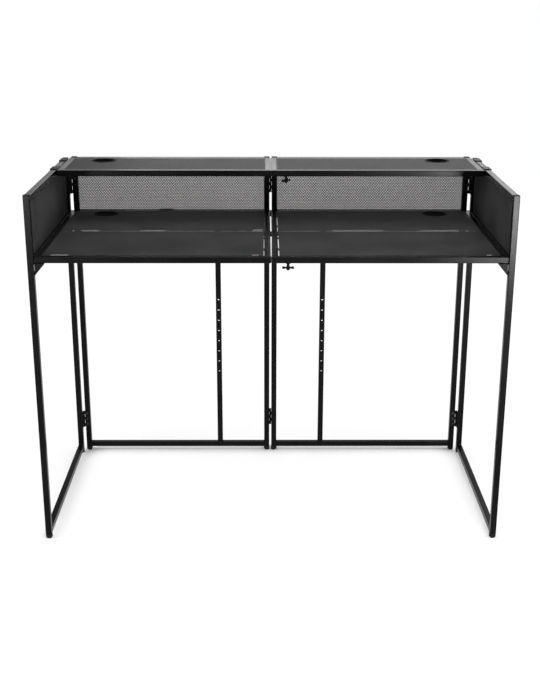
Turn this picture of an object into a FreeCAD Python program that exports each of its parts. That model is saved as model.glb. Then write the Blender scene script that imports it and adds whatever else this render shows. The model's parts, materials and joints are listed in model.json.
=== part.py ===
"""Folding stand for a disc jockey's gear: four hinged tube panels, a raised shelf and a table."""
import FreeCAD
import Part
import os
from math import cos, pi, sin

from FreeCAD import Vector

# Square tube that every frame is made of
tube = 20.0
tube_wall = 1.2
tube_inner_r = 0.8

# Panels: widths are over the uprights, and the facade stands on the table-level rail
front_panel_width = 721.3
wing_panel_width = 729.6
mid_rail_top = 962.0
facade_height = 194.0
foot_height = 15.5
sheet_thickness = 1.2

# Post with a row of through-holes in each front panel
post_x = 197.0
post_hole_r = 4.75
post_hole_pitch = 41.0
post_hole_count = 8
post_lowest_hole = 329.0

# Hinges: each pin stands off the panels' faces and edges by the same offset
pin_offset = 3.9
hinge_height = 65.0
hinge_low_centre = 134.5
hinge_high_drop = 98.5
leaf_margin = 3.0
leaf_thickness = 1.8
knuckle_clearance = 0.4
knuckle_count = 5
knuckle_play = 0.3
pin_r = 1.5
pin_clearance = 0.05
pin_head_r = 2.6
pin_head_height = 1.6
rivet_head_r = 3.2
rivet_head_height = 1.4
rivet_edge_r = 0.8
rivet_height_shares = (-0.34, 0.0, 0.34)

# Glide feet and top caps
foot_r = 11.25
foot_flat_share = 0.71
foot_round_share = 0.32
foot_groove_shares = (0.68, 0.76)
foot_groove_depth = 0.9
plug_length = 14.0
plug_clearance = 0.15
cap_height = 2.0
cap_edge_share = 0.6

# Raised shelf and table
shelf_rise = 1.5
shelf_depth = 277.0
table_rise = 3.0
table_front_setback = 8.4
tops_rear_gap = 9.0
shelf_centre_gap = 1.4
table_centre_gap = 4.0
shelf_side_play = 3.0
table_side_play = 1.5
sheet_edge_gap = 0.8
sheet_slit = 2.0
seam_share = 0.507
seam_gap = 1.6
cross_bar_height = 12.0
tab_length = 24.0
tab_reach = 12.0
tab_thickness = 2.0
rail_tab_shares = (0.14, 0.40, 0.66)
side_tab_shares = (0.27, 0.74)

# Round cable grommets near the outer rear corners of shelf and table
grommet_side_margin = 66.4
grommet_rear_margin = 1.0
grommet_bore_r = 36.0
grommet_wall = 2.0
grommet_rim = 8.0
grommet_rim_height = 1.2
grommet_edge_share = 0.5
grommet_lip = 2.0
grommet_lip_height = 2.0
grommet_sleeve_depth = 18.0
grommet_hole_clearance = 0.3

# Angle ledges on the front panels under the rear edges of shelf and table
ledge_length = 240.0
ledge_bearing = 15.0
ledge_leg = 17.0
ledge_thickness = 2.0

# Saddle brackets over the wings' top rails
saddle_length = 50.0
saddle_thickness = 2.5
saddle_outer_leg = 15.0
saddle_bearing = 15.0
saddle_rear_clearance = 2.6
saddle_front_margin = 26.0

# Gusset brackets on the wings' front uprights
gusset_width = 31.5
gusset_height = 40.0
gusset_thickness = 2.5
gusset_slit = 2.0
gusset_slit_height = 22.0

# Hook on the left table half's rear rail, which laps over the panel's table-level rail
hook_x = 383.0
hook_width = 50.0
hook_thickness = 2.5
hook_drop = 15.0
hook_clearance = 3.0
hook_sheet_gap = 1.4

# Pads in the centre gaps
pad_clearance = 0.3
stop_height = 21.5
stop_drop = 2.0
stop_depth = 14.0
buffer_length = 45.0
buffer_height = 8.0
buffer_lead = 34.0

# Joiner bars inside the front rails, and the wing bolts that lock them
joiner_side_play = 2.8
joiner_play = 0.4
joiner_engaged = 32.0
joiner_tail = 24.0
joiner_spare = 6.0
bolt_x = 51.5
bolt_r = 3.0
bolt_clearance = 0.05
bolt_reach = 8.0
bolt_end_play = 2.0
slot_clearance = 0.5
knob_flange_r = 9.0
knob_neck_r = 4.0
knob_neck_drop = 4.5
knob_hub_r = 5.5
knob_hub_drop = 9.0
knob_drop = 24.0
knob_span = 36.0
knob_lobe_r = 5.5
knob_lobe_drop = 16.0
knob_blade_thickness = 5.0
shelf_knob_turn_deg = 35.0

# Overrun of cutting tools past the faces that they cut
overrun = 1.0

# Angles and directions
QUARTER = 90.0
HALF_TURN = 180.0
ORIGIN = Vector(0, 0, 0)
X_AXIS = Vector(1, 0, 0)
Y_AXIS = Vector(0, 1, 0)
Z_AXIS = Vector(0, 0, 1)

# Sizes worked out from the sizes above
tube_inner = tube - 2 * tube_wall
tube_corner_r = tube_inner_r + tube_wall
hinge_gap = 2 * pin_offset
knuckle_r = pin_offset - knuckle_clearance
leaf_width = tube - leaf_margin
cap_edge_r = cap_edge_share * tube_corner_r
ledge_reach = tops_rear_gap + ledge_bearing
grommet_sleeve_r = grommet_bore_r + grommet_wall
grommet_rim_r = grommet_bore_r + grommet_rim
grommet_lip_r = grommet_rim_r + grommet_lip
joiner_width = tube_inner - 2 * joiner_side_play
joiner_travel = joiner_engaged + table_centre_gap + joiner_spare
bolt_hole_depth = bolt_reach + bolt_end_play

# Places worked out from the sizes; Y is 0 on the front panels' performer side until saved
panel_top = mid_rail_top + facade_height
shelf_top = panel_top + shelf_rise
table_top = mid_rail_top + table_rise
stop_top = mid_rail_top - stop_drop
shelf_bottom = shelf_top - tube
table_bottom = table_top - tube
hinge_centres = (hinge_low_centre, panel_top - hinge_high_drop)
front_inner_x = hinge_gap / 2
front_outer_x = front_inner_x + front_panel_width
wing_inner_x = front_outer_x + hinge_gap
wing_outer_x = wing_inner_x + tube
wing_rear_y = -hinge_gap
wing_front_y = wing_rear_y - wing_panel_width
centre_pin_y = tube + pin_offset
corner_pin_x = front_outer_x + pin_offset
shelf_span = (shelf_centre_gap / 2, wing_inner_x - saddle_thickness - shelf_side_play)
table_span = (table_centre_gap / 2, wing_inner_x - table_side_play)
table_depth = -wing_front_y - tops_rear_gap - table_front_setback
seam_depth = seam_share * table_depth
rear_saddle_place = hinge_gap + tube + saddle_rear_clearance + saddle_length / 2
front_saddle_place = tops_rear_gap + shelf_depth - saddle_front_margin - saddle_length / 2
saddle_places = (rear_saddle_place, front_saddle_place)

# The origin lies on the floor, midway between the foremost and rearmost points
foremost_y = wing_front_y + min(0, tube / 2 - foot_r)
rearmost_y = centre_pin_y + knuckle_r
origin_y = (foremost_y + rearmost_y) / 2


def box(low, high):
    """Box between two opposite corners."""
    size = [high[i] - low[i] for i in range(len(low))]
    return Part.makeBox(*size, Vector(*low))


def rounded_prism(width, depth, radius, length):
    """Prism with rounded long edges, centred on the Z axis and standing on Z = 0."""
    x = width / 2 - radius
    y = depth / 2 - radius
    centres = ((x, y), (-x, y), (-x, -y), (x, -y))
    edges = []
    for index, (centre_x, centre_y) in enumerate(centres):
        start = QUARTER * index
        arc = Part.makeCircle(radius, Vector(centre_x, centre_y, 0), Z_AXIS, start, start + QUARTER)
        next_x, next_y = centres[(index + 1) % len(centres)]
        angle = (index + 1) * pi / 2
        offset = Vector(radius * cos(angle), radius * sin(angle), 0)
        line = Part.makeLine(Vector(centre_x, centre_y, 0) + offset, Vector(next_x, next_y, 0) + offset)
        edges.extend((arc, line))
    face = Part.Face(Part.Wire(Part.__sortEdges__(edges)))
    return face.extrude(Vector(0, 0, length))


def laid(shape, axis):
    """Turn a shape that stands along Z so that it lies along the given axis."""
    if axis == "X":
        shape.rotate(ORIGIN, Y_AXIS, QUARTER)
    if axis == "Y":
        shape.rotate(ORIGIN, X_AXIS, -QUARTER)
    return shape


def square_tube(axis, length, start):
    """Hollow square tube along an axis, with the centre of its first end at start."""
    outer = rounded_prism(tube, tube, tube_corner_r, length)
    inner = rounded_prism(tube_inner, tube_inner, tube_inner_r, length + 2 * overrun)
    inner.translate(Vector(0, 0, -overrun))
    shape = laid(outer.cut(inner), axis)
    shape.translate(Vector(*start))
    return shape


def mirrored(shape):
    """Copy of a right-hand shape for the left-hand side."""
    return shape.mirror(ORIGIN, X_AXIS)


def cylinder(radius, height, base, axis=Z_AXIS):
    """Cylinder from a base point along an axis."""
    return Part.makeCylinder(radius, height, Vector(*base), axis)


def revolved(points):
    """Solid turned about Z from (radius, height) points."""
    corners = [Vector(radius, 0, height) for radius, height in points]
    face = Part.Face(Part.makePolygon(corners + corners[:1]))
    return face.revolve(ORIGIN, Z_AXIS, 2 * HALF_TURN)


def edges_at(shape, test):
    """Edges of a shape whose every vertex passes a test."""
    return [edge for edge in shape.Edges if all(test(vertex.Point) for vertex in edge.Vertexes)]


def near(value, target):
    """Whether two lengths are the same but for rounding."""
    return abs(value - target) < Part.Precision.confusion() * tube


def end_plug():
    """Stem of a plastic plug inside a tube's end, standing on Z = 0."""
    side = tube_inner - 2 * plug_clearance
    return rounded_prism(side, side, tube_inner_r, plug_length)


def glide_foot(x, y):
    """Round foot with a plug that goes up into the upright above it."""
    groove_r = foot_r - foot_groove_depth
    groove_low, groove_high = [share * foot_height for share in foot_groove_shares]
    points = (
        (0, 0), (foot_flat_share * foot_r, 0), (foot_r, foot_round_share * foot_height),
        (foot_r, groove_low), (groove_r, groove_low), (groove_r, groove_high), (foot_r, groove_high),
        (foot_r, foot_height), (0, foot_height))
    plug = end_plug()
    plug.translate(Vector(0, 0, foot_height))
    shape = revolved(points).fuse(plug)
    shape.translate(Vector(x, y, 0))
    return shape


def end_cap(x, y):
    """Square cap on top of an upright, with its plug inside the tube."""
    lid = rounded_prism(tube, tube, tube_corner_r, cap_height)
    lid = lid.makeFillet(cap_edge_r, edges_at(lid, lambda point: near(point.z, cap_height)))
    plug = end_plug()
    plug.translate(Vector(0, 0, -plug_length))
    shape = lid.fuse(plug)
    shape.translate(Vector(x, y, panel_top))
    return shape


def uprights(places):
    """Full-height tubes at (x, y) places."""
    length = panel_top - foot_height
    return [square_tube("Z", length, (x, y, foot_height)) for x, y in places]


def panel_rails(axis, length, x, y):
    """Top, table-level and bottom rail of a panel, from a first end at (x, y)."""
    heights = (panel_top - tube / 2, mid_rail_top - tube / 2, foot_height + tube / 2)
    return [square_tube(axis, length, (x, y, height)) for height in heights]


def front_places():
    """Centres of a front panel's two uprights."""
    return ((front_inner_x + tube / 2, tube / 2), (front_outer_x - tube / 2, tube / 2))


def wing_places():
    """Centres of a wing's two uprights."""
    x = wing_inner_x + tube / 2
    return ((x, wing_front_y + tube / 2), (x, wing_rear_y - tube / 2))


def front_rails():
    """Rails between a front panel's uprights."""
    return panel_rails("X", front_panel_width - 2 * tube, front_inner_x + tube, tube / 2)


def wing_rails():
    """Rails between a wing's uprights."""
    return panel_rails("Y", wing_panel_width - 2 * tube, wing_inner_x + tube / 2, wing_front_y + tube)


def front_post():
    """Inner post of a front panel, with its row of through-holes."""
    low = foot_height + tube
    post = square_tube("Z", mid_rail_top - tube - low, (post_x, tube / 2, low))
    for index in range(post_hole_count):
        height = post_lowest_hole + index * post_hole_pitch
        hole = cylinder(post_hole_r, tube + 2 * overrun, (post_x, -overrun, height), Y_AXIS)
        post = post.cut(hole)
    return post


def front_sheet():
    """Perforated sheet of a front panel, as a plain plate at mid-depth of the tubes."""
    middle = tube / 2
    low = (front_inner_x + tube, middle - sheet_thickness / 2, mid_rail_top)
    high = (front_outer_x - tube, middle + sheet_thickness / 2, panel_top - tube)
    return box(low, high)


def wing_sheet():
    """Perforated sheet of a wing, as a plain plate at mid-depth of the tubes."""
    middle = wing_inner_x + tube / 2
    low = (middle - sheet_thickness / 2, wing_front_y + tube, mid_rail_top)
    high = (middle + sheet_thickness / 2, wing_rear_y - tube, panel_top - tube)
    return box(low, high)


def ledge(bearing_height):
    """Angle on a front panel's rail, with its flat leg under a shelf or table frame."""
    middle = (front_inner_x + front_outer_x) / 2
    x_low = middle - ledge_length / 2
    x_high = middle + ledge_length / 2
    bottom = bearing_height - ledge_thickness
    flat = box((x_low, -ledge_reach, bottom), (x_high, 0, bearing_height))
    upright = box((x_low, -ledge_thickness, bottom), (x_high, 0, bottom + ledge_leg))
    return flat.fuse(upright).removeSplitter()


def saddle(place):
    """Channel over a wing's top rail, with a longer inner leg that carries the tongue."""
    top = panel_top + saddle_thickness
    leg_inner_x = wing_inner_x - saddle_thickness
    leg_outer_x = wing_outer_x + saddle_thickness
    leg_low = panel_top - saddle_outer_leg
    outline = (
        (leg_inner_x, shelf_bottom), (wing_inner_x, shelf_bottom), (wing_inner_x, panel_top),
        (wing_outer_x, panel_top), (wing_outer_x, leg_low), (leg_outer_x, leg_low),
        (leg_outer_x, top), (leg_inner_x, top))
    y_low = -place - saddle_length / 2
    corners = [Vector(x, y_low, z) for x, z in outline]
    face = Part.Face(Part.makePolygon(corners + corners[:1]))
    shape = face.extrude(Vector(0, saddle_length, 0))
    top_edges = edges_at(shape, lambda point: near(point.z, top))
    bends = [edge for edge in top_edges if near(edge.Length, saddle_length)]
    return shape.makeFillet(saddle_thickness / 2, bends)


def saddle_tongue(place):
    """Plate welded under a saddle's inner leg, which carries the shelf's side rail."""
    low = (shelf_span[1] - saddle_bearing, -place - saddle_length / 2, shelf_bottom - saddle_thickness)
    high = (wing_inner_x, -place + saddle_length / 2, shelf_bottom)
    return box(low, high)


def gusset():
    """Bracket on a wing's front upright: a flange under the table's corner, and a web with a slit."""
    tip_x = wing_inner_x - gusset_width
    slit_x = wing_inner_x - gusset_slit
    y_low = wing_front_y
    y_high = wing_front_y + tube
    flange_low = table_bottom - gusset_thickness
    flange = box((tip_x, y_low, flange_low), (wing_inner_x, y_high, table_bottom))
    middle = (y_low + y_high) / 2
    slit_low = flange_low - gusset_slit_height
    outline = (
        (tip_x, flange_low), (slit_x, flange_low), (slit_x, slit_low), (wing_inner_x, slit_low),
        (wing_inner_x, table_bottom - gusset_height))
    corners = [Vector(x, middle - gusset_thickness / 2, z) for x, z in outline]
    web = Part.Face(Part.makePolygon(corners + corners[:1])).extrude(Vector(0, gusset_thickness, 0))
    return flange.fuse(web)


def wing_brackets():
    """Brackets of a wing: its saddles with their tongues, and its gusset."""
    saddles = [saddle(place) for place in saddle_places]
    tongues = [saddle_tongue(place) for place in saddle_places]
    return saddles + tongues + [gusset()]


def hinge_leaf(odd_knuckles):
    """Leaf of one hinge about the Z axis: the plate lies on the -X side, against Y = pin_offset."""
    edge_x = -hinge_gap / 2
    face_y = pin_offset - leaf_thickness
    bottom = -hinge_height / 2
    plate = box((edge_x - leaf_width, face_y, bottom), (edge_x, pin_offset, -bottom))
    pitch = hinge_height / knuckle_count
    for index in range(knuckle_count):
        if (index % 2 == 1) != odd_knuckles:
            continue
        low = bottom + index * pitch + knuckle_play / 2
        high = bottom + (index + 1) * pitch - knuckle_play / 2
        lug = box((edge_x, face_y, low), (0, pin_offset, high))
        plate = plate.fuse((lug, cylinder(knuckle_r, high - low, (0, 0, low))))
    bore = cylinder(pin_r + pin_clearance, hinge_height + 2 * overrun, (0, 0, bottom - overrun))
    return plate.cut(bore).removeSplitter()


def hinge_rivets():
    """Rivet heads on one leaf, in the leaf's own place."""
    x = -hinge_gap / 2 - leaf_width / 2
    face_y = pin_offset - leaf_thickness
    heads = []
    for share in rivet_height_shares:
        head = cylinder(rivet_head_r, rivet_head_height, (x, face_y, share * hinge_height), -Y_AXIS)
        crown = edges_at(head, lambda point: near(point.y, face_y - rivet_head_height))
        heads.append(head.makeFillet(rivet_edge_r, crown))
    return heads


def hinge_pin():
    """Pin of one hinge, with its head above the top knuckle."""
    bottom = -hinge_height / 2
    shank = cylinder(pin_r, hinge_height, (0, 0, bottom))
    head = cylinder(pin_head_r, pin_head_height, (0, 0, -bottom))
    return shank.fuse(head)


def at_hinges(shape, flip, turn_deg, x, y):
    """Copies of a hinge piece at both hinge heights, flipped about X = 0 and turned about Z first."""
    copies = []
    for height in hinge_centres:
        piece = mirrored(shape) if flip else shape.copy()
        piece.rotate(ORIGIN, Z_AXIS, turn_deg)
        piece.translate(Vector(x, y, height))
        copies.append(piece)
    return copies


def tabbed_rail(axis, start, length, inward, top, places):
    """Frame rail with flat tabs welded to its inner face at places along it, which carry the sheet."""
    rail = square_tube(axis, length, start)
    tab_high = top - sheet_thickness
    for place in places:
        if axis == "X":
            middle = start[0] + place
            face = start[1] + inward * tube / 2
            ends = sorted((face, face + inward * tab_reach))
            low = (middle - tab_length / 2, ends[0], tab_high - tab_thickness)
            high = (middle + tab_length / 2, ends[1], tab_high)
        else:
            middle = start[1] + place
            face = start[0] + inward * tube / 2
            ends = sorted((face, face + inward * tab_reach))
            low = (ends[0], middle - tab_length / 2, tab_high - tab_thickness)
            high = (ends[1], middle + tab_length / 2, tab_high)
        rail = rail.fuse(box(low, high))
    return rail


def top_frame(span, top, depth, side_places):
    """Front, rear, inner and outer rail of a right-hand shelf or table half, between two X places."""
    inner_edge, outer_edge = span
    width = outer_edge - inner_edge
    rail_places = [share * width for share in rail_tab_shares]
    height = top - tube / 2
    rear_y = -tops_rear_gap - tube / 2
    front_y = -tops_rear_gap - depth + tube / 2
    side_length = depth - 2 * tube
    side_y = -tops_rear_gap - depth + tube
    front = tabbed_rail("X", (inner_edge, front_y, height), width, 1, top, rail_places)
    rear = tabbed_rail("X", (inner_edge, rear_y, height), width, -1, top, rail_places)
    inner_x = inner_edge + tube / 2
    outer_x = outer_edge - tube / 2
    inner = tabbed_rail("Y", (inner_x, side_y, height), side_length, 1, top, side_places)
    outer = tabbed_rail("Y", (outer_x, side_y, height), side_length, -1, top, side_places)
    return [front, rear, inner, outer]


def side_tab_places(spans):
    """Places of the tabs along a side rail, in each (start, length) span that a sheet covers."""
    return [start + share * length for start, length in spans for share in side_tab_shares]


def slotted_front(frame, depth, bottom):
    """Right-hand frame whose front rail has the slot that its wing bolt slides in."""
    y = -tops_rear_gap - depth + tube / 2
    slot_r = bolt_r + slot_clearance
    cut_height = tube_wall + 2 * overrun
    low = bottom - overrun
    slot = box((bolt_x, y - slot_r, low), (bolt_x + joiner_travel, y + slot_r, low + cut_height))
    for x in (bolt_x, bolt_x + joiner_travel):
        slot = slot.fuse(cylinder(slot_r, cut_height, (x, y, low)))
    return [frame[0].cut(slot)] + frame[1:]


def grommet_place():
    """Centre of the cable grommet in a right-hand half."""
    x = shelf_span[1] - tube - grommet_side_margin - grommet_lip_r
    y = -tops_rear_gap - tube - grommet_rear_margin - grommet_lip_r
    return x, y


def top_sheet(span, top, y_low, y_high, inner_gap, with_port):
    """Sheet flush with the top of a frame, between two Y places inside it."""
    low = (span[0] + tube + inner_gap, y_low, top - sheet_thickness)
    high = (span[1] - tube - sheet_edge_gap, y_high, top)
    sheet = box(low, high)
    if with_port:
        x, y = grommet_place()
        radius = grommet_rim_r + grommet_hole_clearance
        base = (x, y, top - sheet_thickness - overrun)
        sheet = sheet.cut(cylinder(radius, sheet_thickness + 2 * overrun, base))
    return sheet


def shelf_sheet():
    """Sheet of a shelf half."""
    y_high = -tops_rear_gap - tube - sheet_edge_gap
    y_low = -tops_rear_gap - shelf_depth + tube + sheet_edge_gap
    return top_sheet(shelf_span, shelf_top, y_low, y_high, sheet_edge_gap, True)


def table_rear_sheet():
    """Sheet of a table half behind the seam."""
    y_high = -tops_rear_gap - tube - sheet_edge_gap
    y_low = -tops_rear_gap - seam_depth + seam_gap / 2
    return top_sheet(table_span, table_top, y_low, y_high, sheet_edge_gap, True)


def table_front_sheet():
    """Sheet of a table half before the seam, with a slit beside the inner rail."""
    y_high = -tops_rear_gap - seam_depth - seam_gap / 2
    y_low = -tops_rear_gap - table_depth + tube + sheet_edge_gap
    return top_sheet(table_span, table_top, y_low, y_high, sheet_slit, False)


def cross_bar():
    """Bar under the seam of a table half, between its side rails."""
    top = table_top - sheet_thickness
    y = -tops_rear_gap - seam_depth
    low = (table_span[0] + tube, y - tube / 2, top - cross_bar_height)
    high = (table_span[1] - tube, y + tube / 2, top)
    return box(low, high)


def table_hook():
    """Bent plate on a table half's rear rail, with its lap over the panel's table-level rail."""
    x_low = hook_x - hook_width / 2
    x_high = hook_x + hook_width / 2
    leg_y = -tops_rear_gap + hook_thickness
    lap_low = mid_rail_top + hook_clearance
    lap_high = lap_low + hook_thickness
    lap_y = (tube - sheet_thickness) / 2 - hook_sheet_gap
    leg = box((x_low, -tops_rear_gap, table_top - hook_drop), (x_high, leg_y, lap_high))
    lap = box((x_low, leg_y, lap_low), (x_high, lap_y, lap_high))
    return leg.fuse(lap).removeSplitter()


def grommet(top):
    """Round cable grommet: a rim through the sheet, a lip under the sheet and a sleeve below."""
    x, y = grommet_place()
    rim_top = top + grommet_rim_height
    lip_low = top - sheet_thickness - grommet_lip_height
    sleeve_low = top - grommet_sleeve_depth
    rim = cylinder(grommet_rim_r, rim_top - lip_low, (x, y, lip_low))
    lip = cylinder(grommet_lip_r, grommet_lip_height, (x, y, lip_low))
    sleeve = cylinder(grommet_sleeve_r, top - sleeve_low, (x, y, sleeve_low))
    bore = cylinder(grommet_bore_r, rim_top - sleeve_low + 2 * overrun, (x, y, sleeve_low - overrun))
    shape = rim.fuse((lip, sleeve)).cut(bore)
    crown = edges_at(shape, lambda point: near(point.z, rim_top))
    return shape.makeFillet(grommet_edge_share * grommet_rim_height, crown)


def stop_pad():
    """Pad on the left front panel's centre upright, in the gap between the front panels."""
    y_low = (tube - stop_depth) / 2
    low = (-front_inner_x, y_low, stop_top - stop_height)
    high = (front_inner_x - pad_clearance, y_low + stop_depth, stop_top)
    return box(low, high)


def buffer_pad():
    """Pad on the left table half's inner rail, in the gap between the table halves."""
    y_high = -tops_rear_gap - seam_depth + buffer_lead
    z_low = table_bottom + (tube - buffer_height) / 2
    low = (-table_span[0], y_high - buffer_length, z_low)
    high = (table_span[0] - pad_clearance, y_high, z_low + buffer_height)
    return box(low, high)


def joiner(span, bottom, depth):
    """Bar inside the front rails of a left and a right half, tapped for its wing bolt."""
    y = -tops_rear_gap - depth + tube / 2
    height = tube_inner - 2 * joiner_play
    z_low = bottom + tube_wall + joiner_play
    low = (-span[0] - joiner_engaged, y - joiner_width / 2, z_low)
    high = (bolt_x + joiner_tail, y + joiner_width / 2, z_low + height)
    hole = cylinder(bolt_r + bolt_clearance, bolt_hole_depth + overrun, (bolt_x, y, z_low - overrun))
    return box(low, high).cut(hole)


def wing_bolt(bottom, depth, turn_deg):
    """Wing bolt under a right-hand front rail, with its screw up into the joiner."""
    points = (
        (0, 0), (knob_flange_r, 0), (knob_neck_r, -knob_neck_drop), (knob_hub_r, -knob_hub_drop),
        (knob_hub_r, -knob_drop), (0, -knob_drop))
    hub = revolved(points)
    lobe_x = knob_span / 2 - knob_lobe_r
    y_low = -knob_blade_thickness / 2
    blade = box((-lobe_x, y_low, -knob_lobe_drop - knob_lobe_r / 2),
                (lobe_x, -y_low, -knob_lobe_drop + knob_lobe_r / 2))
    for x in (-lobe_x, lobe_x):
        lobe = cylinder(knob_lobe_r, knob_blade_thickness, (x, y_low, -knob_lobe_drop), Y_AXIS)
        blade = blade.fuse(lobe)
    screw = cylinder(bolt_r, tube_wall + joiner_play + bolt_reach, (0, 0, 0))
    shape = hub.fuse((blade, screw)).removeSplitter()
    shape.rotate(ORIGIN, Z_AXIS, turn_deg)
    shape.translate(Vector(bolt_x, -tops_rear_gap - depth + tube / 2, bottom))
    return shape


def save(node, shapes):
    """Write one node from a list of solids, moved to the part's origin."""
    group = Part.makeCompound(shapes)
    group.translate(Vector(0, -origin_y, 0))
    group.exportStep(os.path.join("parts", node + ".step"))
    volume = sum(solid.Volume for solid in group.Solids)
    print(f"{node}: {len(group.Solids)} solids, {volume:.0f} mm3, valid {group.isValid()}")


def panel_nodes():
    """Nodes of the right-hand front panel and wing, by the rest of their name."""
    return {
        "front_uprights": uprights(front_places()),
        "front_rails": front_rails(),
        "front_post": [front_post()],
        "front_sheet": [front_sheet()],
        "front_ledges": [ledge(shelf_bottom), ledge(table_bottom)],
        "front_feet": [glide_foot(x, y) for x, y in front_places()],
        "front_caps": [end_cap(x, y) for x, y in front_places()],
        "wing_uprights": uprights(wing_places()),
        "wing_rails": wing_rails(),
        "wing_sheet": [wing_sheet()],
        "wing_brackets": wing_brackets(),
        "wing_feet": [glide_foot(x, y) for x, y in wing_places()],
        "wing_caps": [end_cap(x, y) for x, y in wing_places()],
    }


def hinge_nodes():
    """Nodes of the right-hand corner hinges, by the rest of their name."""
    corner = (corner_pin_x, -pin_offset)
    centre = (0, centre_pin_y)
    front_rivets = []
    wing_rivets = []
    for rivet in hinge_rivets():
        front_rivets += at_hinges(rivet, False, 0, *corner)
        front_rivets += at_hinges(rivet, False, HALF_TURN, *centre)
        wing_rivets += at_hinges(rivet, True, -QUARTER, *corner)
    return {
        "corner_front_leaves": at_hinges(hinge_leaf(False), False, 0, *corner),
        "corner_wing_leaves": at_hinges(hinge_leaf(True), True, -QUARTER, *corner),
        "corner_pins": at_hinges(hinge_pin(), False, 0, *corner),
        "front_rivets": front_rivets,
        "wing_rivets": wing_rivets,
    }


def top_nodes():
    """Nodes of the right-hand shelf and table half, by the rest of their name."""
    front_span = table_depth - seam_depth - tube
    shelf_tabs = side_tab_places([(0, shelf_depth - 2 * tube)])
    table_tabs = side_tab_places([(0, front_span), (front_span, seam_depth - tube)])
    return {
        "shelf_frame": top_frame(shelf_span, shelf_top, shelf_depth, shelf_tabs),
        "shelf_sheet": [shelf_sheet()],
        "shelf_grommet": [grommet(shelf_top)],
        "table_frame": top_frame(table_span, table_top, table_depth, table_tabs) + [cross_bar()],
        "table_rear_sheet": [table_rear_sheet()],
        "table_front_sheet": [table_front_sheet()],
        "table_grommet": [grommet(table_top)],
    }


def main():
    """Build every node and write it."""
    os.makedirs("parts", exist_ok=True)
    paired = {**panel_nodes(), **hinge_nodes(), **top_nodes()}
    hooked = {**paired, "table_frame": paired["table_frame"] + [table_hook()]}
    for name, shapes in hooked.items():
        save("left_" + name, [mirrored(shape) for shape in shapes])
    paired["shelf_frame"] = slotted_front(paired["shelf_frame"], shelf_depth, shelf_bottom)
    paired["table_frame"] = slotted_front(paired["table_frame"], table_depth, table_bottom)
    for name, shapes in paired.items():
        save("right_" + name, shapes)
    save("left_centre_leaves", at_hinges(hinge_leaf(False), True, HALF_TURN, 0, centre_pin_y))
    save("right_centre_leaves", at_hinges(hinge_leaf(True), False, HALF_TURN, 0, centre_pin_y))
    save("centre_pins", at_hinges(hinge_pin(), False, 0, 0, centre_pin_y))
    save("centre_stop_pad", [stop_pad()])
    save("table_buffer_pad", [buffer_pad()])
    save("shelf_joiner", [joiner(shelf_span, shelf_bottom, shelf_depth)])
    save("table_joiner", [joiner(table_span, table_bottom, table_depth)])
    save("shelf_wing_bolt", [wing_bolt(shelf_bottom, shelf_depth, shelf_knob_turn_deg)])
    save("table_wing_bolt", [wing_bolt(table_bottom, table_depth, 0)])


main()
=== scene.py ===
"""Looks of a folding stand: black square tube, perforated sheet and moulded fittings."""
import json
import logging
import math
from contextlib import contextmanager
from dataclasses import dataclass
from enum import Enum
from typing import Any, Callable, Iterator, Optional, Sequence, Union

import bpy
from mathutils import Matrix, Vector


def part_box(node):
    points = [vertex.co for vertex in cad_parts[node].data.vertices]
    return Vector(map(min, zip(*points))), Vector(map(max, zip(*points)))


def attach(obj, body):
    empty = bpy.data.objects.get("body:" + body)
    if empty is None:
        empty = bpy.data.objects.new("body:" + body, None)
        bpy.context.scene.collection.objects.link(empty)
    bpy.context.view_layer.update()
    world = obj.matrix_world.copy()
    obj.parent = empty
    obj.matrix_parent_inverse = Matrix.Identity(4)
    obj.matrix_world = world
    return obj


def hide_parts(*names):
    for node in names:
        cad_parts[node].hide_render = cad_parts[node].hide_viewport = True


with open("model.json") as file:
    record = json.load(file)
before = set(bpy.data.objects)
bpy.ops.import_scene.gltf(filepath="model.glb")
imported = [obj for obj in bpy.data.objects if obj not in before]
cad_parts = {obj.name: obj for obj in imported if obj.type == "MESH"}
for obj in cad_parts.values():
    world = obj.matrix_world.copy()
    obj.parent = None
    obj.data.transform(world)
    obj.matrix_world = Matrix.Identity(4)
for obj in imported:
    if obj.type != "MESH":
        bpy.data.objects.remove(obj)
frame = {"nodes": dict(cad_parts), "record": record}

LOG = logging.getLogger("stand")
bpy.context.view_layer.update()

MM = 0.001
ROOT3 = math.sqrt(3)
RIGHT_ANGLE = math.pi / 2
CREASE = math.radians(35)
FACING = 0.9
MERGE_GAP = 0.01 * MM
CUT_GAP = 0.001 * MM
COAT_IOR = 1.5

Span = tuple[float, float]
Tint = tuple[float, float]
Point = tuple[float, float, float]
Colour = tuple[float, float, float, float]
Slot = tuple[float, float, int]

ORIGIN: Point = (0.0, 0.0, 0.0)
EVEN: Point = (1.0, 1.0, 1.0)


class Side(Enum):
    """Half of the stand, seen from the performer's place."""

    LEFT = "left"
    RIGHT = "right"

    @property
    def word(self) -> str:
        """First word of the names on this side."""
        return self.value


class Lie(Enum):
    """How a sheet lies, as the turn that brings a flat sheet into place."""

    LEVEL = ORIGIN
    ACROSS = (RIGHT_ANGLE, 0.0, 0.0)
    ALONG = (RIGHT_ANGLE, 0.0, RIGHT_ANGLE)


class Run(Enum):
    """Direction of a weld bead, as the turn of a bead that runs along X."""

    X = ORIGIN
    Y = (0.0, 0.0, RIGHT_ANGLE)
    Z = (0.0, RIGHT_ANGLE, 0.0)


class Pick(Enum):
    """What edit mode selects, as its switches for corners, edges and faces."""

    CORNERS = (True, False, False)
    FACES = (False, False, True)


Bead = tuple[Point, Run]


# Shader graphs


@dataclass(frozen=True)
class Grain:
    """Noise on a surface: the size of its patches in metres, its finer layers, their weight and its stretch."""

    pitch: float
    layers: float
    weight: float
    stretch: Point = EVEN


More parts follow.
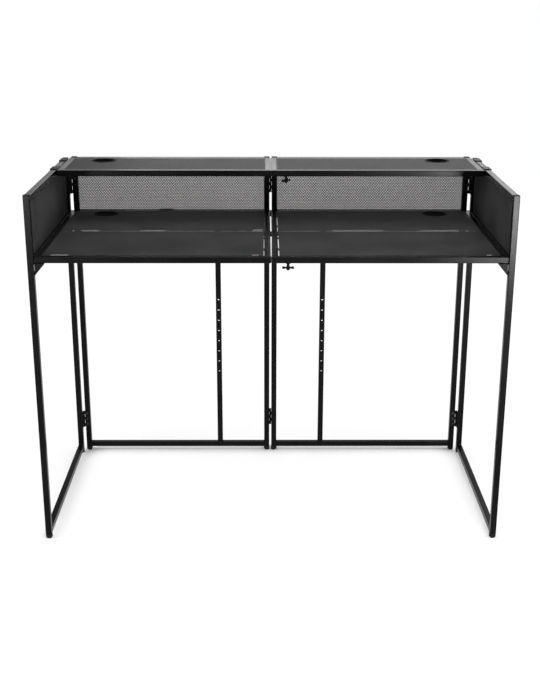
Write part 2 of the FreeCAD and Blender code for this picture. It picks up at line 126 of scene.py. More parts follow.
class Value:
    """A number socket whose sums and products become Math nodes."""

    def __init__(self, graph: "Graph", socket: bpy.types.NodeSocket) -> None:
        """Hold one socket of a graph."""
        self.graph = graph
        self.socket = socket

    def math(self, operation: str, *terms: "Term") -> "Value":
        """Add one Math node.

        Args:
            operation: The Math node's operation.
            terms: Values or numbers for its inputs, in order.

        Returns:
            The node's result.
        """
        node = self.graph.node("ShaderNodeMath", {"operation": operation}, dict(enumerate(terms)))
        return Value(self.graph, node.outputs[0])

    def __add__(self, other: "Term") -> "Value":
        """Sum of this value and another."""
        return self.math("ADD", self, other)

    def __radd__(self, other: "Term") -> "Value":
        """Sum of a number and this value."""
        return self.math("ADD", other, self)

    def __sub__(self, other: "Term") -> "Value":
        """This value less another."""
        return self.math("SUBTRACT", self, other)

    def __rsub__(self, other: "Term") -> "Value":
        """A number less this value."""
        return self.math("SUBTRACT", other, self)

    def __mul__(self, other: "Term") -> "Value":
        """Product of this value and another."""
        return self.math("MULTIPLY", self, other)

    def __rmul__(self, other: "Term") -> "Value":
        """Product of a number and this value."""
        return self.math("MULTIPLY", other, self)

    def most(self, other: "Term") -> "Value":
        """The larger of this value and another."""
        return self.math("MAXIMUM", self, other)

    def swing(self, size: float) -> "Value":
        """Swing about zero, of this size, from a value about one half."""
        return (self - 0.5) * size

    def rise(self, start: float, end: float) -> "Value":
        """Smooth step of this value.

        Args:
            start: Where the step leaves 0.
            end: Where the step reaches 1.

        Returns:
            A value from 0 to 1.
        """
        sockets = {"Value": self, "From Min": start, "From Max": end}
        node = self.graph.node("ShaderNodeMapRange", {"interpolation_type": "SMOOTHSTEP"}, sockets)
        return Value(self.graph, node.outputs[0])


Term = Union[Value, float]


class Graph:
    """Node tree of one material or world, emptied and built anew."""

    def __init__(self, tree: bpy.types.NodeTree) -> None:
        """Empty a node tree and hold it."""
        self.tree = tree
        self.tree.nodes.clear()

    def node(self, kind: str, settings: Optional[dict[str, Any]] = None,
             sockets: Optional[dict[Any, Any]] = None) -> bpy.types.Node:
        """Add one node.

        Args:
            kind: The node's type.
            settings: Properties that are set first.
            sockets: Values, sockets or constants by input name or number.

        Returns:
            The new node.
        """
        node = self.tree.nodes.new(kind)
        for name, setting in (settings or {}).items():
            setattr(node, name, setting)
        for name, source in (sockets or {}).items():
            socket = node.inputs[name]
            if isinstance(source, Value):
                self.tree.links.new(source.socket, socket)
            elif isinstance(source, bpy.types.NodeSocket):
                self.tree.links.new(source, socket)
            else:
                socket.default_value = source
        return node

    def place(self, stretch: Point = EVEN) -> bpy.types.NodeSocket:
        """Place on the object in metres.

        Args:
            stretch: Factors along the three axes.

        Returns:
            A vector socket.
        """
        place = self.node("ShaderNodeTexCoord").outputs["Object"]
        return self.node("ShaderNodeMapping", None, {"Vector": place, "Scale": stretch}).outputs[0]

    def noise(self, grain: Grain) -> Value:
        """Noise about one half.

        Args:
            grain: Its size and layers.

        Returns:
            A value from 0 to 1.
        """
        sockets = {"Vector": self.place(grain.stretch), "Scale": 1.0 / grain.pitch,
                   "Detail": grain.layers, "Roughness": grain.weight}
        return Value(self, self.node("ShaderNodeTexNoise", None, sockets).outputs[0])

    def cells(self, pitch: float) -> Value:
        """Distance from the nearest of scattered points.

        Args:
            pitch: Mean distance of the points in metres.

        Returns:
            A value from 0 at a point to about 1 between points.
        """
        sockets = {"Vector": self.place(), "Scale": 1.0 / pitch}
        return Value(self, self.node("ShaderNodeTexVoronoi", {"feature": "F1"}, sockets).outputs[0])

    def blend(self, share: Term, first: Any, second: Any) -> bpy.types.NodeSocket:
        """Mix two colours.

        Args:
            share: Share of the second colour.
            first: Colour or colour socket.
            second: Colour or colour socket.

        Returns:
            A colour socket.
        """
        settings = {"data_type": "RGBA"}
        return self.node("ShaderNodeMix", settings, {0: share, 6: first, 7: second}).outputs[2]

    def relief(self, height: Value, depth: float, strength: float) -> bpy.types.NodeSocket:
        """Bump from a height.

        Args:
            height: Value from 0 to 1.
            depth: Depth of the relief in metres.
            strength: Strength of the bump.

        Returns:
            A normal socket.
        """
        sockets = {"Height": height, "Distance": depth, "Strength": strength}
        return self.node("ShaderNodeBump", None, sockets).outputs[0]

    def ray(self) -> Value:
        """Tell the rays that see a surface from those that carry light.

        Returns:
            One for rays from the camera, a reflection or a transmission, and zero for the rest.
        """
        path = self.node("ShaderNodeLightPath")
        seen = Value(self, path.outputs["Is Camera Ray"])
        for name in ("Is Glossy Ray", "Is Transmission Ray"):
            seen = seen.most(Value(self, path.outputs[name]))
        return seen

    def surface(self, shader: bpy.types.Node) -> None:
        """Lead a shader to the output.

        Args:
            shader: The shader's node.
        """
        is_material = isinstance(self.tree.id_data, bpy.types.Material)
        kind = "ShaderNodeOutputMaterial" if is_material else "ShaderNodeOutputWorld"
        self.node(kind, None, {"Surface": shader.outputs[0]})

    def principled(self, sockets: dict[str, Any]) -> None:
        """Lead a Principled shader with these inputs to the output."""
        self.surface(self.node("ShaderNodeBsdfPrincipled", None, sockets))


def new_material(name: str) -> tuple[bpy.types.Material, Graph]:
    """Add a material.

    Args:
        name: The material's name.

    Returns:
        The material and its empty graph.
    """
    material = bpy.data.materials.new(name)
    material.use_nodes = True
    return material, Graph(material.node_tree)


def grey(level: float, warmth: float = 0.0) -> Colour:
    """Neutral colour.

    Args:
        level: Linear level.
        warmth: Share by which red goes up and blue goes down.

    Returns:
        A colour with alpha 1.
    """
    return (level * (1 + warmth), level, level * (1 - warmth), 1.0)


def tint(shade: float, change: Tint) -> Colour:
    """Grey that departs from a finish's shade by a factor and a warmth."""
    return grey(shade * change[0], change[1])


# Finishes


@dataclass(frozen=True)
class PowderCoat:
    """Black powder coat with a fine orange peel, a slow drift of shade, flecks and rubbed patches."""

    name: str
    shade: float = 0.003
    sheen: float = 0.06
    roughness: float = 0.24
    peel: Grain = Grain(1.5 * MM, 2.0, 0.55)
    peel_depth: float = 0.12 * MM
    peel_strength: float = 0.35
    peel_swing: float = 0.06
    drift: Grain = Grain(140 * MM, 3.0, 0.5)
    drift_span: Span = (0.3, 0.7)
    drift_swing: float = 0.16
    dark: Tint = (0.8, -0.02)
    light: Tint = (1.3, 0.01)
    rub: Grain = Grain(22 * MM, 5.0, 0.68)
    rub_span: Span = (0.60, 0.74)
    rub_share: float = 0.45
    rub_swing: float = 0.07
    rubbed: Tint = (2.2, 0.0)
    fleck_pitch: float = 2.4 * MM
    fleck_span: Span = (0.06, 0.16)
    fleck_share: float = 0.35
    flecked: Tint = (4.0, 0.03)

    def material(self) -> bpy.types.Material:
        """Make the finish's material.

        Returns:
            The material.
        """
        material, graph = new_material(self.name)
        peel = graph.noise(self.peel)
        drift = graph.noise(self.drift)
        rub = graph.noise(self.rub).rise(*self.rub_span)
        fleck = 1.0 - graph.cells(self.fleck_pitch).rise(*self.fleck_span)
        coat = graph.blend(drift.rise(*self.drift_span), tint(self.shade, self.dark), tint(self.shade, self.light))
        worn = graph.blend(rub * self.rub_share, coat, tint(self.shade, self.rubbed))
        dusty = graph.blend(fleck * self.fleck_share, worn, tint(self.shade, self.flecked))
        swing = self.roughness + drift.swing(self.drift_swing) + rub * self.rub_swing
        graph.principled({
            "Base Color": dusty, "Roughness": swing + peel.swing(self.peel_swing),
            "Specular IOR Level": self.sheen, "IOR": COAT_IOR,
            "Normal": graph.relief(peel, self.peel_depth, self.peel_strength)})
        return material


@dataclass(frozen=True)
class MouldedPlastic:
    """Black moulded plastic with a fine spark texture and faint flow lines."""

    name: str
    shade: float = 0.006
    sheen: float = 0.1
    roughness: float = 0.46
    grain: Grain = Grain(0.9 * MM, 3.0, 0.6)
    grain_depth: float = 0.08 * MM
    grain_strength: float = 0.4
    grain_swing: float = 0.14
    flow: Grain = Grain(16 * MM, 2.0, 0.5, (1.0, 1.0, 3.0))
    flow_span: Span = (0.35, 0.65)
    flow_swing: float = 0.12
    dark: Tint = (0.75, 0.0)
    light: Tint = (1.4, -0.02)

    def material(self) -> bpy.types.Material:
        """Make the finish's material.

        Returns:
            The material.
        """
        material, graph = new_material(self.name)
        grain = graph.noise(self.grain)
        flow = graph.noise(self.flow)
        base = graph.blend(flow.rise(*self.flow_span), tint(self.shade, self.dark), tint(self.shade, self.light))
        graph.principled({
            "Base Color": base,
            "Roughness": self.roughness + flow.swing(self.flow_swing) + grain.swing(self.grain_swing),
            "Specular IOR Level": self.sheen, "IOR": COAT_IOR,
            "Normal": graph.relief(grain, self.grain_depth, self.grain_strength)})
        return material


@dataclass(frozen=True)
class PlatedSteel:
    """Dark zinc plate over drawn steel, with fine lines and cloudy patches."""

    name: str
    shade: float = 0.05
    roughness: float = 0.42
    lines: Grain = Grain(0.8 * MM, 2.0, 0.5, (1.0, 1.0, 0.06))
    line_depth: float = 0.05 * MM
    line_strength: float = 0.3
    line_swing: float = 0.12
    cloud: Grain = Grain(6 * MM, 4.0, 0.6)
    cloud_span: Span = (0.35, 0.7)
    cloud_swing: float = 0.2
    dark: Tint = (0.7, -0.03)
    light: Tint = (1.5, 0.03)

    def material(self) -> bpy.types.Material:
        """Make the finish's material.

        Returns:
            The material.
        """
        material, graph = new_material(self.name)
        lines = graph.noise(self.lines)
        cloud = graph.noise(self.cloud)
        base = graph.blend(cloud.rise(*self.cloud_span), tint(self.shade, self.dark), tint(self.shade, self.light))
        graph.principled({
            "Base Color": base, "Metallic": 1.0,
            "Roughness": self.roughness + cloud.swing(self.cloud_swing) + lines.swing(self.line_swing),
            "Normal": graph.relief(lines, self.line_depth, self.line_strength)})
        return material


@dataclass(frozen=True)
class Rubber:
    """Matt black rubber with a dull bloom and a coarse skin."""

    name: str
    shade: float = 0.007
    sheen: float = 0.15
    roughness: float = 0.82
    skin: Grain = Grain(0.7 * MM, 3.0, 0.6)
    skin_depth: float = 0.12 * MM
    skin_strength: float = 0.5
    skin_swing: float = 0.1
    bloom: Grain = Grain(12 * MM, 4.0, 0.6)
    bloom_span: Span = (0.45, 0.75)
    bloomed: Tint = (2.0, 0.02)

    def material(self) -> bpy.types.Material:
        """Make the finish's material.

        Returns:
            The material.
        """
        material, graph = new_material(self.name)
        skin = graph.noise(self.skin)
        bloom = graph.noise(self.bloom).rise(*self.bloom_span)
        graph.principled({
            "Base Color": graph.blend(bloom, grey(self.shade), tint(self.shade, self.bloomed)),
            "Roughness": self.roughness + skin.swing(self.skin_swing), "Specular IOR Level": self.sheen,
            "Normal": graph.relief(skin, self.skin_depth, self.skin_strength)})
        return material


FINISHES = (
    PowderCoat("painted_tube"),
    PowderCoat("perforated_sheet", shade=0.025, sheen=0.05, roughness=0.50,
               peel=Grain(1.2 * MM, 2.0, 0.55), fleck_pitch=3.1 * MM),
    PowderCoat("painted_fitting", shade=0.005, roughness=0.40, rub=Grain(12 * MM, 5.0, 0.68)),
    PlatedSteel("plated_steel"),
    MouldedPlastic("black_plastic", roughness=0.55),
    MouldedPlastic("moulded_plastic", shade=0.004, sheen=0.02, roughness=0.6),
    Rubber("black_rubber"),
)


class Paintshop:
    """Materials of the finishes, by the record's slot, and the dressing of pieces with them."""

    def __init__(self) -> None:
        """Make every finish's material once."""
        self.materials = {finish.name: finish.material() for finish in FINISHES}

    def dress_frame(self) -> None:
        """Give every CAD node the material of its slot."""
        for row in frame["record"]["subparts"]:
            for slot in frame["nodes"][row["node"]].material_slots:
                slot.material = self.materials[row["material_slot"]]
            LOG.info("dressed %s with %s", row["node"], row["material_slot"])

    def dress(self, piece: bpy.types.Object, slot: str, body: str) -> None:
        """Give a new piece the material of its slot and attach it to its body.

        Args:
            piece: The finished piece.
            slot: Name of its slot in the record.
            body: Name of the body that it rides on.
        """
        piece.data.materials.clear()
        piece.data.materials.append(self.materials[slot])
        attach(piece, body)
        LOG.info("piece %s on %s, %d faces", piece.name, body, len(piece.data.polygons))


# Mesh work


def clear_selection() -> None:
    """Deselect every object."""
    bpy.ops.object.select_all(action="DESELECT")


def solo(obj: bpy.types.Object) -> None:
    """Select one object and nothing else, and make it active.

    Args:
        obj: The object.
    """
    clear_selection()
    obj.select_set(True)
    bpy.context.view_layer.objects.active = obj


def join(first: bpy.types.Object, others: Sequence[bpy.types.Object]) -> None:
    """Join objects into one.

    Args:
        first: The object that takes the others in.
        others: The objects that go into it.
    """
    solo(first)
    for obj in others:
        obj.select_set(True)
    bpy.ops.object.join()


class MeshPiece:
    """Mesh under work, shaped in edit mode from the primitive that was added last."""

    def __init__(self, name: str) -> None:
        """Take the active object and name it.

        Args:
            name: Name of the object and of its mesh.
        """
        self.obj = bpy.context.object
        self.obj.name = name
        self.obj.data.name = name

    @contextmanager
    def editing(self, pick: Pick = Pick.FACES) -> Iterator[None]:
        """Open the mesh in edit mode for the body of a with statement.

        Args:
            pick: What edit mode selects.

        Returns:
            The context, which holds nothing.
        """
        solo(self.obj)
        bpy.context.tool_settings.mesh_select_mode = pick.value
        bpy.ops.object.mode_set(mode="EDIT")
        yield
        bpy.ops.object.mode_set(mode="OBJECT")

    def clear_picks(self) -> None:
        """Deselect the whole mesh in object mode."""
        for elements in (self.obj.data.vertices, self.obj.data.edges, self.obj.data.polygons):
            elements.foreach_set("select", [False] * len(elements))

    def pick_faces(self, test: Callable[[Vector, Vector], bool]) -> None:
        """Select faces in object mode, for the next opening of the mesh.

        Args:
            test: Whether a face with this centre and normal is wanted.
        """
        self.clear_picks()
        faces = self.obj.data.polygons
        faces.foreach_set("select", [test(face.center, face.normal) for face in faces])

    def pick_corners(self, test: Callable[[Vector], bool]) -> None:
        """Select corners in object mode, for the next opening of the mesh.

        Args:
            test: Whether a corner at this place is wanted.
        """
        self.clear_picks()
        corners = self.obj.data.vertices
        corners.foreach_set("select", [test(corner.co) for corner in corners])

    def remove_faces(self, test: Callable[[Vector, Vector], bool]) -> None:
        """Delete faces.

        Args:
            test: Whether a face with this centre and normal goes.
        """
        self.pick_faces(test)
        with self.editing():
            bpy.ops.mesh.delete(type="FACE")

    def draw(self, step: Point, share: Point) -> None:
        """Extrude the selected faces in edit mode and resize the new ones.

        Args:
            step: How far they go along the three axes.
            share: Factors along the three axes.
        """
        bpy.ops.mesh.extrude_region_move(TRANSFORM_OT_translate={"value": step})
        bpy.ops.transform.resize(value=share)

    def modify(self, kind: str, **settings: Any) -> None:
        """Add one modifier and apply it.

        Args:
            kind: The modifier's type.
            settings: Its properties.
        """
        solo(self.obj)
        modifier = self.obj.modifiers.new(kind.lower(), kind)
        for name, setting in settings.items():
            setattr(modifier, name, setting)
        bpy.ops.object.modifier_apply(modifier=modifier.name)

    def settle(self, place: Point, turn: Point = ORIGIN) -> None:
        """Turn and move the piece, and put its place into its mesh.

        Args:
            place: Where the piece's own origin goes.
            turn: Angles about the three axes.
        """
        solo(self.obj)
        self.obj.location = place
        self.obj.rotation_euler = turn
        bpy.ops.object.transform_apply(location=True, rotation=True, scale=True)

    def smooth(self, angle: float = CREASE) -> None:
        """Shade the piece smooth up to an angle."""
        solo(self.obj)
        bpy.ops.object.shade_smooth_by_angle(angle=angle)


# Perforated sheets


@dataclass
class Grid:
    """Rows of holes that fill a sheet."""

    field: float
    columns: int
    pitch: float
    rows: int
    row: float


@dataclass
class PerforatedSheet:
    """One perforated sheet that stands for a plain plate, with its edges cut through rows of holes."""

    node: str
    body: str
    lie: Lie
    port: Optional[tuple[float, float]] = None
    port_r: float = 41.5 * MM
    strips: int = 1
    pitch: float = 6.12 * MM
    hole_side: float = 1.61 * MM
    hole_shape: tuple[float, float] = (0.62, 1.53)
    side_border: float = 0.0
    slots: Sequence[Slot] = ()
    web_share: float = 0.125

    def corner_and_size(self) -> tuple[Point, float, float, float]:
        """Read the plate's place.

        Returns:
            Its corner at mid-thickness, its width, its height and its thickness.
        """
        low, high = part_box(self.node)
        size = high - low
        if self.lie is Lie.LEVEL:
            return (low.x, low.y, (low.z + high.z) / 2), size.x, size.y, size.z
        if self.lie is Lie.ACROSS:
            return (low.x, (low.y + high.y) / 2, low.z), size.x, size.z, size.y
        return ((low.x + high.x) / 2, low.y, low.z), size.y, size.z, size.x

    def grid(self, width: float, height: float) -> Grid:
        """Fit whole rows of holes to the plate.

        Args:
            width: The plate's size along X.
            height: Its size along Y.

        Returns:
            The holed width, its number of half steps, the step along X, the number of rows and their step.
        """
        field = width - 2 * self.side_border
        columns = round(2 * field / self.pitch)
        pitch = 2 * field / columns
        rows = round(height / (pitch * ROOT3 / 2))
        return Grid(field, columns, pitch, rows, height / rows)

    def cell(self, grid: Grid) -> MeshPiece:
        """Make the hexagonal cell round one hole.

        Args:
            grid: The sheet's rows of holes.

        Returns:
            The flat cell, about the origin.
        """
        clear_selection()
        bpy.ops.mesh.primitive_circle_add(vertices=6, radius=grid.pitch / ROOT3, fill_type="NGON")
        piece = MeshPiece(self.node + "_mesh")
        with piece.editing():
            bpy.ops.mesh.select_all(action="SELECT")
            bpy.ops.mesh.inset(thickness=grid.pitch / 2 - self.hole_side * ROOT3 / 2, depth=0)
            bpy.ops.transform.resize(value=(*self.hole_shape, 1.0))
            bpy.ops.mesh.delete(type="FACE")
        piece.obj.scale = (1.0, grid.row / (grid.pitch * ROOT3 / 2), 1.0)
        piece.settle(ORIGIN)
        return piece

    def lattice(self, grid: Grid, height: float) -> MeshPiece:
        """Repeat the cell over the plate and cut the lattice to size.

        Args:
            grid: The sheet's rows of holes.
            height: Size along Y.

        Returns:
            The flat lattice, with its corner at the origin.
        """
        piece = self.cell(grid)
        steps = (
            (grid.columns // 2 + 1, (grid.pitch, 0, 0)),
            (2, (grid.pitch / 2, grid.row, 0)),
            (grid.rows // 2 + 1, (0, 2 * grid.row, 0)),
        )
        for count, offset in steps:
            piece.modify("ARRAY", use_relative_offset=False, use_constant_offset=True,
                         constant_offset_displace=offset, count=count)
        borders = (((0, 0, 0), (-1, 0, 0)), ((grid.field, 0, 0), (1, 0, 0)),
                   ((0, 0, 0), (0, -1, 0)), ((0, height, 0), (0, 1, 0)))
        with piece.editing():
            bpy.ops.mesh.select_all(action="SELECT")
            bpy.ops.mesh.remove_doubles(threshold=MERGE_GAP)
            for place, outward in borders:
                bpy.ops.mesh.select_all(action="SELECT")
                bpy.ops.mesh.bisect(plane_co=place, plane_no=outward, clear_outer=True, threshold=CUT_GAP)
            bpy.ops.mesh.select_all(action="SELECT")
            bpy.ops.mesh.remove_doubles(threshold=MERGE_GAP)
        if self.side_border:
            self.add_borders(piece, grid.field, height)
        return piece

    def add_borders(self, piece: MeshPiece, field: float, height: float) -> None:
        """Add a plain strip along each side of the lattice, and bring its corner to the origin.

        Args:
            piece: The flat lattice.
            field: Its size along X.
            height: Its size along Y.
        """
        for middle in (-self.side_border / 2, field + self.side_border / 2):
            clear_selection()
            bpy.ops.mesh.primitive_plane_add(size=1.0, location=(middle, height / 2, 0.0))
            strip = MeshPiece(self.node + "_border")
            strip.obj.scale = (self.side_border, height, 1.0)
            strip.settle(tuple(strip.obj.location))
            join(piece.obj, [strip.obj])
        piece.settle((self.side_border, 0.0, 0.0))

    def open_port(self, piece: MeshPiece, corner: Point) -> None:
        """Cut the round port, with its edge inside the grommet's rim.

        Args:
            piece: The flat lattice.
            corner: Place of its corner on the stand.
        """
        centre = Vector((self.port[0] - corner[0], self.port[1] - corner[1], 0.0))
        piece.remove_faces(lambda place, normal: (place - centre).length < self.port_r)

    def open_slots(self, piece: MeshPiece, left: float, grid: Grid, slot: Slot) -> None:
        """Draw the holes in a stretch of one row out into slots.

        Args:
            piece: The flat lattice.
            left: Place of its corner along X on the stand.
            grid: Its rows of holes.
            slot: The stretch's two ends along X on the stand and the row's number.
        """
        start, end, index = slot
        shift = self.side_border + index % 2 * grid.pitch / 2

        def beside_hole(place: Vector, normal: Vector) -> bool:
            """Find the webs before and behind the row's holes.

            Args:
                place: Centre of a web's face.
                normal: Its normal, which doesn't matter here.

            Returns:
                Whether the face lies there.
            """
            away = (place.x - shift + grid.pitch / 2) % grid.pitch - grid.pitch / 2
            off = place.y - index * grid.row
            in_stretch = start - left < place.x < end - left
            return in_stretch and abs(off) > grid.row * self.web_share and math.hypot(away, off) < grid.pitch / 2

        piece.remove_faces(beside_hole)

    def cut_strips(self, piece: MeshPiece, width: float) -> list[MeshPiece]:
        """Part the lattice into strips along its webs.

        Args:
            piece: The flat lattice.
            width: Its size along X.

        Returns:
            The strips, the first with the piece's own name.
        """
        strips = [piece]
        for index in range(1, self.strips):
            edge = width * index / self.strips
            piece.pick_faces(lambda place, normal: place.x < edge)
            with piece.editing():
                bpy.ops.mesh.separate(type="SELECTED")
            fresh = next(obj for obj in bpy.context.selected_objects if obj is not piece.obj)
            solo(fresh)
            strips.append(MeshPiece(f"{self.node}_mesh_{index + 1}"))
        return strips

    def build(self, shop: Paintshop) -> None:
        """Make the sheet, dress it and hide the plate that it stands for.

        Args:
            shop: Where its material comes from.
        """
        corner, width, height, thickness = self.corner_and_size()
        grid = self.grid(width, height)
        lattice = self.lattice(grid, height)
        for slot in self.slots:
            self.open_slots(lattice, corner[0], grid, slot)
        if self.port is not None:
            self.open_port(lattice, corner)
        for strip in self.cut_strips(lattice, width):
            strip.modify("SOLIDIFY", thickness=thickness, offset=0.0)
            strip.settle(corner, self.lie.value)
            shop.dress(strip.obj, "perforated_sheet", self.body)
            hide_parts(self.node)


# Weld beads


@dataclass
class WeldBeads:
    """Short fillet beads in the inner corners of one welded frame."""

    name: str
    body: str
    places: Sequence[Bead]
    length: float = 15 * MM
    radius: float = 2.0 * MM
    sides: int = 8
    ripples: int = 5
    end_share: float = 0.45
    valley_share: float = 0.8
    crease: float = math.radians(60)

    def bead(self) -> MeshPiece:
        """Make one rippled bead along X about the origin.

        Returns:
            The bead.
        """
        clear_selection()
        bpy.ops.mesh.primitive_cylinder_add(
            vertices=self.sides, radius=self.radius, depth=self.length, rotation=Run.Z.value)
        piece = MeshPiece(self.name)
        piece.settle(ORIGIN, tuple(piece.obj.rotation_euler))
        rings = 2 * self.ripples
        step = self.length / rings
        with piece.editing():
            for index in range(1, rings):
                bpy.ops.mesh.select_all(action="SELECT")
                bpy.ops.mesh.bisect(plane_co=(index * step - self.length / 2, 0, 0), plane_no=(1, 0, 0))
        for index in range(0, rings + 1, 2):
            place = index * step - self.length / 2
            share = self.end_share if index in (0, rings) else self.valley_share
            piece.pick_corners(lambda corner: abs(corner.x - place) < step / 4)
            with piece.editing(Pick.CORNERS):
                bpy.ops.transform.resize(value=(1.0, share, share), center_override=(place, 0.0, 0.0))
        piece.smooth(self.crease)
        return piece

    def build(self, shop: Paintshop) -> None:
        """Copy the bead to every place, join the copies and dress them.

        Args:
            shop: Where the material comes from.
        """
        master = self.bead()
        copies = []
        for place, run in self.places:
            solo(master.obj)
            bpy.ops.object.duplicate(linked=False)
            copy = MeshPiece(self.name + "_copy")
            copy.settle(place, run.value)
            copies.append(copy.obj)
        join(copies[0], copies[1:])
        joined = MeshPiece(self.name + "_welds")
        bpy.data.objects.remove(master.obj)
        shop.dress(joined.obj, "painted_tube", self.body)


@dataclass
class FrameWelds:
    """Weld beads of the panels, the wings and the tops on one side, in corners read from the frame."""

    side: Side
    sheet_gap: float = 0.8 * MM
    sink: float = 1.0 * MM
    top_length: float = 13 * MM

    def box(self, node: str) -> tuple[Vector, Vector]:
        """Lowest and highest corner of one of this side's nodes."""
        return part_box(f"{self.side.word}_{node}")

    def tube(self) -> float:
        """Width of the square tube."""
        low, high = self.box("front_post")
        return high.x - low.x

    def heights(self) -> tuple[float, float, float, float]:
        """Heights of a panel's inner corners.

        Returns:
            Under its top rail, over and under its table-level rail, and over its bottom rail.
        """
        sheet_low, sheet_high = self.box("front_sheet")
        return sheet_high.z, sheet_low.z, sheet_low.z - self.tube(), self.box("front_rails")[0].z + self.tube()

    def front(self) -> list[Bead]:
        """Corners of the front panel's rails and post.

        Returns:
            Place and direction of each bead.
        """
        heights = self.heights()
        rails_low, rails_high = self.box("front_rails")
        post_low, post_high = self.box("front_post")
        y = (post_low.y + post_high.y) / 2
        places = [((x, y, z), Run.Y) for x in (rails_low.x, rails_high.x) for z in heights]
        return places + [((x, y, z), Run.Y) for x in (post_low.x, post_high.x) for z in heights[2:]]

    def wing(self) -> list[Bead]:
        """Corners of the wing's rails.

        Returns:
            Place and direction of each bead.
        """
        low, high = self.box("wing_rails")
        x = (low.x + high.x) / 2
        return [((x, y, z), Run.X) for y in (low.y, high.y) for z in self.heights()]

    def top(self, kind: str, rear_sheet: str) -> list[Bead]:
        """Inner corners of a shelf or table frame, below its sheet.

        Args:
            kind: The first word of the top's nodes.
            rear_sheet: The node of the sheet beside its rear rail.

        Returns:
            Place and direction of each bead.
        """
        tube = self.tube()
        low, high = self.box(f"{kind}_frame")
        sheet_high = self.box(rear_sheet)[1]
        z = sheet_high.z - tube / 2 - self.sink
        rows = (low.y + tube, sheet_high.y + self.sheet_gap)
        return [((x, y, z), Run.Z) for x in (low.x + tube, high.x - tube) for y in rows]

    def build(self, shop: Paintshop) -> None:
        """Make the beads of every frame on this side.

        Args:
            shop: Where the material comes from.
        """
        word = self.side.word
        WeldBeads(f"{word}_front", f"{word}_front", self.front()).build(shop)
        WeldBeads(f"{word}_wing", f"{word}_wing", self.wing()).build(shop)
        for kind, rear_sheet in (("shelf", "shelf_sheet"), ("table", "table_rear_sheet")):
            places = self.top(kind, rear_sheet)
            WeldBeads(f"{word}_{kind}", f"{word}_{kind}", places, self.top_length).build(shop)


# Wing bolts


